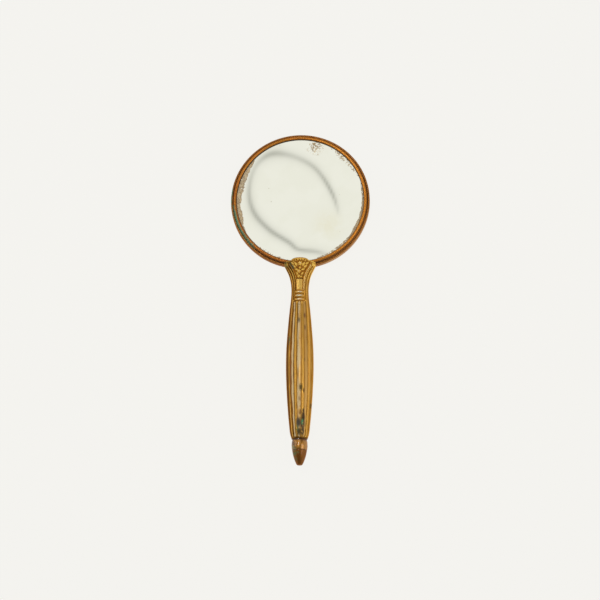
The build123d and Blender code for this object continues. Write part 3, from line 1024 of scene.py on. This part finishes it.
def from_axis(n, x, y):
    return n.math("SQRT", n.plus(n.times(x, x), n.times(y, y)))


def around_head(n, at):
    """A place's bearing round the head, 0 to 1 clockwise from the far end, and its distance out."""
    parts = n.add("ShaderNodeSeparateXYZ", Vector=at)
    x, y = parts.outputs["X"], parts.outputs["Y"]
    turn = n.math("DIVIDE", n.math("ARCTAN2", x, y), 2 * math.pi)
    bearing = n.math("MODULO", n.plus(turn, 1.0), 1.0)
    return bearing, from_axis(n, x, y)


# Levels by bearing: verdigris in the groove and on the outer edge, polish of the bead, and how dark
# the groove is. Where it is not dark, the groove is painted pale.
GREEN_GROOVE = (
    (0.0, 0.0), (0.595, 0.0), (0.63, 0.8), (0.66, 1.0), (0.71, 0.95), (0.745, 0.6), (0.77, 0.2),
    (0.80, 0.0),
)
GREEN_EDGE = (
    (0.0, 0.0), (0.60, 0.0), (0.65, 0.25), (0.69, 0.3), (0.72, 0.5), (0.745, 1.0), (0.775, 0.95),
    (0.80, 0.3), (0.82, 0.0),
)
POLISH = (
    (0.0, 0.55), (0.10, 0.9), (0.25, 1.0), (0.42, 0.9), (0.55, 0.25), (0.70, 0.25), (0.85, 0.5),
    (1.0, 0.55),
)
GROOVE_DARK = (
    (0.0, 0.85), (0.25, 0.75), (0.30, 0.20), (0.42, 0.05), (0.46, 0.60), (0.49, 0.85), (1.0, 0.85),
)


def ring_metal(n, at, bearing, worn, carved, cloud):
    """Copper-brown metal, polished on the bead, dark or pale in the groove by bearing, near black at the
    groove's bottom, and near black on the inner wall, where it is painted shade.
    """
    broad = n.noise(at, 70, 3)
    metal = n.mix(n.span(broad, 0.40, 0.60), srgb(174, 98, 44), srgb(158, 104, 44))
    polished = n.times(n.levels(bearing, POLISH), n.span(carved, 0.76, 0.94))
    groove = n.mix(n.levels(bearing, GROOVE_DARK), srgb(222, 172, 104), srgb(106, 72, 30))
    return n.layered(
        metal,
        (n.span(worn, 0.46, 0.64, 0, 0.4), srgb(138, 88, 36)),
        (polished, srgb(214, 138, 50)),
        (n.span(carved, 0.78, 0.56), srgb(156, 102, 46)),
        (n.span(cloud, 0.54, 0.70, 0, 0.12), srgb(126, 80, 32)),
        (n.span(carved, 0.44, 0.12, 0, 0.85), groove),
        # near black below 0: the groove's bottom, and the inner wall against the glass as painted shade
        (n.span(carved, -0.02, -0.16), srgb(52, 44, 36)),
    )


def verdigris(n, at, bearing, away, worn):
    """How far verdigris covers a place on the ring, 0 to 1."""
    in_groove = n.times(n.between(away, 43.9, 44.6), n.between(away, 46.4, 45.7))
    on_edge = n.times(n.between(away, 45.9, 46.5), n.between(away, 47.2, 46.9, 0.4, 1.0))
    grown = n.times(n.levels(bearing, GREEN_GROOVE), in_groove)
    grown = n.larger(grown, n.times(n.levels(bearing, GREEN_EDGE), on_edge))
    mottle = n.plus(n.spread(n.noise(at, 260, 6, 0.7, 0.7), 0.55), n.spread(worn, 0.25))
    patch = n.span(n.plus(grown, mottle), 0.56, 0.90)
    return n.times(patch, n.span(grown, 0.02, 0.15))


def ring_material():
    """Warm copper-brown brass, with verdigris along the lower left of the band and groove."""
    made, n, shader = material("worn_ring_brass")
    at = n.position()
    bearing, away = around_head(n, at)
    cloud = n.noise(at, 420, 5, 0.6, 0.6)
    fine = n.noise(at, 2400, 3, 0.6)
    polar = n.add("ShaderNodeCombineXYZ", X=n.times(bearing, 30.0), Y=n.times(away, 1100.0))
    worn = n.noise(polar.outputs["Vector"], 1.0, 3, 0.5, 0.3)
    carved = n.plus(n.attribute("relief"), n.spread(worn, 0.06))
    colour = ring_metal(n, at, bearing, worn, carved, cloud)
    patch = verdigris(n, at, bearing, away, worn)
    green = n.mix(n.span(n.noise(at, 1500, 3), 0.4, 0.6), srgb(76, 128, 100), srgb(124, 164, 132))
    # where the groove is painted pale, the metal is also less metallic
    pale_groove = n.span(n.levels(bearing, GROOVE_DARK), 0.7, 0.2, 0, 0.75)
    pale_groove = n.times(pale_groove, n.span(carved, 0.5, 0.2))
    rough = n.plus(patch, n.span(cloud, 0.4, 0.7, 0.1, 0.2))
    surface = n.plus(n.times(cloud, 0.6), n.times(fine, 0.25))
    surface = n.plus(surface, n.times(patch, 0.4))
    n.feed(
        shader, Base_Color=n.mix(n.times(patch, 0.92), colour, green),
        Metallic=n.span(n.larger(patch, pale_groove), 0, 1, 0.78, 0.15, False),
        Roughness=n.span(rough, 0, 1, 0.38, 0.6), Specular_Tint=srgb(232, 170, 104),
        Coat_Weight=0.12, Coat_Roughness=0.25, Normal=n.bump(surface, 0.10, 0.0002),
    )
    return made


def tip_material():
    stains_and_shade = (
        ((-3.6, -171.2, 6.2), 2.4, srgb(86, 132, 92)),
        ((-3.1, -174.6, 6.1), 3.0, srgb(76, 116, 76)),
        ((-2.4, -178.4, 5.6), 1.9, srgb(84, 96, 62)),
        ((-0.8, -174.4, 7.6), 1.2, srgb(110, 112, 72)),
    )
    return aged_brass(
        "red_brown_tip_brass", srgb(160, 100, 34), srgb(124, 72, 18), srgb(134, 84, 34),
        srgb(66, 38, 14), roughness=0.38, coat=0.25, stains_and_shade=stains_and_shade, use_relief=False,
    )


def collar_material():
    # the first two, dark brown on the bulb's left side, are painted shade; the rest are verdigris and a
    # stain
    stains_and_shade = (
        ((-4.3, -168.2, 6.0), 4.4, srgb(84, 46, 14)),
        ((-3.4, -172.0, 7.0), 2.6, srgb(90, 52, 18)),
        ((-4.0, -170.6, 6.4), 2.0, srgb(88, 136, 100)),
        ((-2.6, -172.0, 7.9), 1.2, srgb(96, 132, 92)),
        ((1.6, -166.8, 8.0), 1.0, srgb(96, 58, 22)),
    )
    return aged_brass(
        "collar_brass", srgb(190, 134, 56), srgb(130, 80, 24), srgb(114, 70, 24),
        srgb(74, 42, 14), roughness=0.34, coat=1.0, stains_and_shade=stains_and_shade,
    )


def turned_brass(name, bright, body, dark):
    """Plain brass with fine turning marks."""
    made, n, shader = material(name)
    at = n.position()
    parts = n.add("ShaderNodeSeparateXYZ", Vector=at)
    away = from_axis(n, parts.outputs["X"], parts.outputs["Y"])
    rings = n.add("ShaderNodeCombineXYZ", X=n.times(away, 3000.0))
    marks = n.noise(rings.outputs["Vector"], 1.0, 4, 0.7)
    cloud = n.noise(at, 90, 5, 0.6, 0.5)
    colour = n.mix(n.span(cloud, 0.38, 0.62), body, bright)
    colour = n.mix(n.span(n.noise(at, 300, 4), 0.56, 0.72, 0, 0.7), colour, dark)
    rough = n.span(cloud, 0.3, 0.7, 0.50, 0.34, False)
    n.feed(shader, Base_Color=colour, Metallic=0.9, Roughness=rough, Normal=n.bump(marks, 0.25, 0.0001))
    return made


# Width of the bare border round the glass as a share of BORDER_SCALE, and how solid it is, by bearing
BORDER_SCALE = 6.0
BORDER = (
    (0.0, 0.02), (0.06, 0.05), (0.085, 0.26), (0.125, 0.60), (0.165, 0.36), (0.19, 0.10), (0.225, 0.26),
    (0.26, 0.30), (0.31, 0.34), (0.36, 0.30), (0.41, 0.28), (0.44, 0.24), (0.50, 0.03), (0.565, 0.28),
    (0.60, 0.22), (0.655, 0.04), (0.68, 0.28), (0.705, 0.50), (0.745, 0.56), (0.775, 0.68), (0.81, 0.66),
    (0.845, 0.46), (0.865, 0.26), (0.88, 0.05), (1.0, 0.02),
)
SOLID = (
    (0.0, 0.0), (0.07, 0.10), (0.10, 0.34), (0.16, 0.30), (0.20, 0.15), (0.235, 0.85), (0.28, 1.0),
    (0.34, 1.0), (0.39, 0.80), (0.45, 0.45), (0.50, 0.0), (0.57, 0.32), (0.62, 0.20), (0.67, 0.85),
    (0.71, 1.0), (0.80, 1.0), (0.85, 0.95), (0.865, 0.5), (0.885, 0.0), (1.0, 0.0),
)


def bare_glass(n, at, ragged, specks):
    """Where the silver has gone, how far inside the border's outline a place lies, and a thin dark line
    at the rim, painted shade and painted reflection of the ring's inner wall, which also counts as bare.
    """
    bearing, away = around_head(n, at)
    from_rim = n.math("DIVIDE", n.math("SUBTRACT", SIGHT_RADIUS * MM, away), BORDER_SCALE * MM)
    broad = n.noise(at, 300, 3, 0.5)
    width = n.levels(bearing, BORDER)
    sway = n.spread(broad, 0.12)
    sway = n.plus(sway, n.spread(ragged, 0.07))
    sway = n.times(sway, n.span(width, 0.03, 0.6, 0.0, 1.0))
    inside = n.math("SUBTRACT", n.plus(width, sway), from_rim)
    speckled = n.plus(ragged, n.spread(specks, 0.08))
    eaten = n.plus(speckled, n.times(n.levels(bearing, SOLID), 0.30))
    border = n.times(n.span(inside, 0.0, 0.06), n.span(eaten, 0.60, 0.66))
    near = n.spot(at, (11.0, 37.6, LIP_Z), 6.8, 0.9)
    near = n.larger(near, n.spot(at, (5.4, 36.8, LIP_Z), 2.4, 0.9))
    crust = n.times(n.spot(at, (11.0, 39.6, LIP_Z), 3.6, 0.7), 0.05)
    lost = n.plus(n.plus(speckled, crust), n.times(near, 0.10))
    cluster = n.times(n.span(near, 0.03, 0.25), n.span(lost, 0.57, 0.63))
    # painted shade and painted reflection of the ring's inner wall: a thin dark line just inside the rim
    rim_shade = n.span(from_rim, 0.085, 0.05)
    return n.larger(n.larger(border, cluster), rim_shade), inside, rim_shade


def mirror_material():
    """Silvered glass whose silver has gone from the border, in patches and in specks, with a thin dark line
    round the rim that is painted shade and a painted reflection of the ring's inner wall.
    """
    made, n, shader = material("old_silvered_glass")
    at = n.position()
    ragged = n.noise(at, 760, 3, 0.6, 0.4)
    specks = n.noise(at, 2200, 3, 0.7)
    bare, inside, rim_shade = bare_glass(n, at, ragged, specks)
    # brown outline where the bare patches begin, and brown blotches within them
    edge = n.times(n.span(inside, 0.15, 0.05), n.span(inside, -0.01, 0.03))
    blotches = n.span(n.noise(at, 560, 4, 0.7), 0.48, 0.56)
    crust = n.times(n.spot(at, (11.0, 39.6, LIP_Z), 4.2, 0.7), n.span(specks, 0.40, 0.55))
    brown = n.larger(n.larger(edge, n.times(blotches, 0.7)), crust)
    backing = n.mix(n.span(n.noise(at, 330, 3), 0.35, 0.65), srgb(240, 216, 170), srgb(218, 198, 162))
    # the last layer paints the rim line dark, as shade and reflection of the ring's wall
    backing = n.layered(backing, (n.times(brown, 0.6), srgb(136, 100, 64)), (rim_shade, srgb(92, 78, 58)))
    # the silver itself: faintly warm, duller in soft stains and at scattered dots
    silver = n.mix(n.span(n.noise(at, 60, 2), 0.4, 0.6), srgb(247, 247, 241), srgb(245, 245, 238))
    stain = n.spot(at, (19.0, -18.0, LIP_Z), 15.0, 0.95)
    stain = n.times(stain, n.span(n.noise(at, 120, 3), 0.35, 0.6))
    dots = n.span(n.cells(at, 150), 0.10, 0.03)
    dots = n.times(dots, n.span(n.noise(at, 140, 1), 0.56, 0.64))
    silver = n.layered(
        silver,
        (n.times(stain, 0.55), srgb(240, 236, 216)),
        (n.times(dots, 0.5), srgb(190, 184, 164)),
    )
    n.feed(
        shader, Base_Color=n.mix(bare, silver, backing), Metallic=n.span(bare, 0, 1, 1.0, 0.0, False),
        Roughness=n.span(bare, 0, 1, 0.015, 0.45, False),
        Normal=n.bump(n.noise(at, 25, 1), 0.02, 0.0002),
    )
    return made


def plain_material(name, first, second, scale, roughness, metal=0.0):
    """A simple two-tone surface for the pieces inside."""
    made, n, shader = material(name)
    at = n.position()
    cloud = n.noise(at, scale, 5, 0.6)
    n.feed(
        shader, Base_Color=n.mix(n.span(cloud, 0.38, 0.62), first, second), Metallic=metal,
        Roughness=n.span(cloud, 0.3, 0.7, roughness + 0.08, roughness - 0.08, False),
        Normal=n.bump(n.noise(at, scale * 6, 3), 0.4, 0.00008),
    )
    return made


def dress_nodes():
    """Materials of the CAD nodes that stay as they are."""
    nodes = frame["nodes"]
    dress(nodes["mirror_glass"], mirror_material())
    card = plain_material("brown_card", srgb(150, 122, 84), srgb(126, 100, 68), 300, 0.85)
    dress(nodes["backing_card"], card)
    felt = plain_material("grey_felt", srgb(92, 88, 80), srgb(70, 66, 60), 900, 0.95)
    dress(nodes["packing_felt"], felt)
    steel = plain_material("dull_steel_rod", srgb(128, 122, 112), srgb(92, 84, 74), 400, 0.45, 0.9)
    dress(nodes["tie_rod"], steel)
    screw_brass = turned_brass("screw_brass", srgb(206, 164, 90), srgb(160, 118, 58), srgb(96, 64, 26))
    for node in ("tang", "head_screws", "dowel_pins"):
        dress(nodes[node], screw_brass)


# ---------------------------------------------------------------- studio

VIEW_TILT = math.radians(15.82)
VIEW_TURN = math.radians(10.29)
VIEW_ROLL = math.radians(0.166)
VIEW_DISTANCE = 1.45
VIEW_LENS = 129.95
TARGET = Vector((0.0, -0.0697, AXIS_Z * MM))


def make_camera():
    """Looks down on the glass from the handle's end, a little to the right."""
    back = Vector((math.sin(VIEW_TILT) * math.sin(VIEW_TURN), -math.sin(VIEW_TILT) * math.cos(VIEW_TURN),
                   math.cos(VIEW_TILT)))
    up = Vector((0, 1, 0))
    up = (up - up.dot(back) * back).normalized()
    right = up.cross(back)
    up = math.cos(VIEW_ROLL) * up - math.sin(VIEW_ROLL) * right
    right = up.cross(back)
    camera = bpy.data.objects.new("camera", bpy.data.cameras.new("camera"))
    camera.data.lens = VIEW_LENS
    camera.data.sensor_width = 36.0
    turn = Matrix((right, up, back)).transposed().to_4x4()
    camera.matrix_world = Matrix.Translation(TARGET + back * VIEW_DISTANCE) @ turn
    link(camera)
    bpy.context.scene.camera = camera


def stage_plane(name, width, depth, cells):
    """A flat grid for the stage, in metres, centred on its origin."""
    x, y = np.meshgrid(np.linspace(-width / 2, width / 2, cells), np.linspace(-depth / 2, depth / 2, cells))
    points = np.stack([x.ravel(), y.ravel(), np.zeros(x.size)], -1)
    mesh = bpy.data.meshes.new(name)
    mesh.from_pydata(points.tolist(), [], grid_faces(cells, cells))
    thing = link(bpy.data.objects.new(name, mesh))
    return thing, points


def glowing_material(name):
    """A material with its own light, which the renderer does not treat as a lamp."""
    made = bpy.data.materials.new(name)
    made.use_nodes = True
    made.cycles.emission_sampling = "NONE"
    nodes = made.node_tree.nodes
    nodes.remove(nodes["Principled BSDF"])
    return made, Nodes(made.node_tree), nodes["Material Output"].inputs["Surface"]


FLOOR_GLOW = 1.019
FLOOR_LIT = 0.06


def make_floor():
    """A pale floor that touches the handle's belly and the far edge of the head."""
    rest_y, rest_z = RIM_RADIUS - BACK_LIP, LIP_BACK_Z
    belly_z = BACK_LOW.z
    slope = math.atan2(rest_z - belly_z, rest_y - BELLY_Y)
    floor, _ = stage_plane("floor", 6.0, 6.0, 2)
    floor.rotation_euler = (slope, 0, 0)
    gap = 0.03
    floor.location = (0, BELLY_Y * MM, (belly_z - gap) * MM)
    made, n, surface = glowing_material("pale_floor")
    lit = n.add("ShaderNodeBsdfDiffuse", Color=srgb(236, 235, 231))
    glow = n.add("ShaderNodeEmission", Color=srgb(245, 244, 240), Strength=FLOOR_GLOW)
    both = n.tree.nodes.new("ShaderNodeMixShader")
    both.inputs["Fac"].default_value = FLOOR_LIT
    n.put(both.inputs[1], glow.outputs["Emission"])
    n.put(both.inputs[2], lit.outputs["BSDF"])
    n.put(surface, both.outputs["Shader"])
    floor.data.materials.append(made)


# What hangs over the glass: a glowing white sheet with a soft grey fold, painted as shade, that the mirror
# shows as a loop
SHEET_HEIGHT = 0.9
SHEET_CENTRE = (-0.0455, 0.2955)
SHEET_SIZE = 0.62
SHEET_CELLS = 260
SHEET_WHITE = srgb(243, 243, 235)
SHEET_GREY = srgb(178, 179, 171)
# The fold's course over the sheet in millimetres, and how dark and how wide it is at each point
FOLD = (
    (44, -22), (36, 6), (18, 35), (-6, 50), (-32, 54), (-50, 39), (-57, 12), (-52, -13), (-35, -34),
    (-12, -50), (-2, -58), (18, -61), (34, -66),
)
FOLD_DEPTH = (0.0, 1.0, 0.8, 0.6, 0.85, 0.5, 0.75, 0.95, 1.0, 1.0, 0.9, 0.7, 0.3)
FOLD_WIDTH = (0.50, 0.55, 0.75, 1.1, 1.2, 0.9, 0.75, 0.85, 0.85, 0.75, 0.7, 0.8, 0.9)
# Reach in metres of the fold's dark core and of its soft edge, where its width is 1
FOLD_CORE = 0.0029
FOLD_EDGE = 0.0078


def fold_shade(points):
    """How dark the fold's painted shade makes each point of the sheet: a narrow core in a wide soft edge.
    """
    knots = np.arange(len(FOLD))
    fine = np.linspace(0, len(FOLD) - 1, 400)
    path = np.stack([smooth(fine, knots, [p[k] * MM for p in FOLD]) for k in (0, 1)], -1)
    depth, width = smooth(fine, knots, FOLD_DEPTH), smooth(fine, knots, FOLD_WIDTH)
    gaps = np.hypot(points[:, None, 0] - path[None, :, 0], points[:, None, 1] - path[None, :, 1])
    nearest = gaps.argmin(1)
    gap = gaps[np.arange(len(points)), nearest] / width[nearest]
    core, edge = np.exp(-(gap / FOLD_CORE) ** 2), np.exp(-(gap / FOLD_EDGE) ** 2)
    return depth[nearest] * (0.7 * core + 0.3 * edge)


def make_sheet():
    """Glowing white overhead sheet with the fold's painted shade, seen only in reflections."""
    sheet, points = stage_plane("overhead_sheet", SHEET_SIZE, SHEET_SIZE, SHEET_CELLS)
    sheet.location = (*SHEET_CENTRE, SHEET_HEIGHT)
    layer = sheet.data.attributes.new("shade", "FLOAT", "POINT")
    layer.data.foreach_set("value", fold_shade(points).astype(np.float32))
    made, n, surface = glowing_material("white_sheet")
    colour = n.mix(n.attribute("shade"), SHEET_WHITE, SHEET_GREY)
    glow = n.add("ShaderNodeEmission", Color=colour, Strength=1.0)
    n.put(surface, glow.outputs["Emission"])
    sheet.data.materials.append(made)
    sheet.visible_camera = False
    sheet.visible_diffuse = False
    sheet.visible_shadow = False


LIGHT_AIM = (0, -0.08, 0)


def area_light(name, place, size, power, colour=(1, 1, 1)):
    """A square lamp, placed in metres and aimed at the middle of the mirror."""
    data = bpy.data.lights.new(name, "AREA")
    data.shape = "RECTANGLE"
    data.size, data.size_y = size, size
    data.energy = power
    data.color = colour
    lamp = link(bpy.data.objects.new(name, data))
    lamp.location = place
    lamp.rotation_euler = (Vector(LIGHT_AIM) - Vector(place)).to_track_quat("-Z", "Y").to_euler()


def make_lights():
    """A soft studio: a weak box on the left, a small lamp above, a large warm box on the right."""
    area_light("left", (-1.0, 0.15, 0.75), 0.5, 1.2, (1.0, 0.985, 0.96))
    area_light("top", (-0.20, 0.055, 0.86), 0.15, 1.25)
    area_light("right", (0.9, -0.2, 1.0), 0.7, 3.3, (1.0, 0.97, 0.93))
    light_walls()
    settings = bpy.context.scene.view_settings
    settings.view_transform = "Standard"
    settings.look = "None"


def light_walls():
    """Pale walls that darken towards the ceiling."""
    world = bpy.data.worlds.new("room")
    bpy.context.scene.world = world
    world.use_nodes = True
    n = Nodes(world.node_tree)
    toward = n.add("ShaderNodeTexCoord").outputs["Generated"]
    height = n.add("ShaderNodeSeparateXYZ", Vector=toward).outputs["Z"]
    tone = n.ramp(n.span(height, -0.2, 1.0, smooth_step=False), (
        (0.0, srgb(245, 244, 240)), (0.30, srgb(236, 235, 231)), (0.52, srgb(206, 205, 201)),
        (0.72, srgb(100, 98, 94)), (1.0, srgb(120, 118, 114)),
    ))
    n.put(world.node_tree.nodes["Background"].inputs["Color"], tone)
    world.node_tree.nodes["Background"].inputs["Strength"].default_value = 1.0


# ---------------------------------------------------------------- build

dress(make_ring(), ring_material())
dress(make_pan(), turned_brass("spun_pan_brass", srgb(190, 150, 88), srgb(150, 112, 60), srgb(98, 70, 34)))
GILT_BRASS = handle_material()
for casting in make_handle():
    dress(casting, GILT_BRASS)
dress(make_collar(), collar_material())
dress(make_tip(), tip_material())
dress_nodes()
make_camera()
make_floor()
make_sheet()
make_lights()
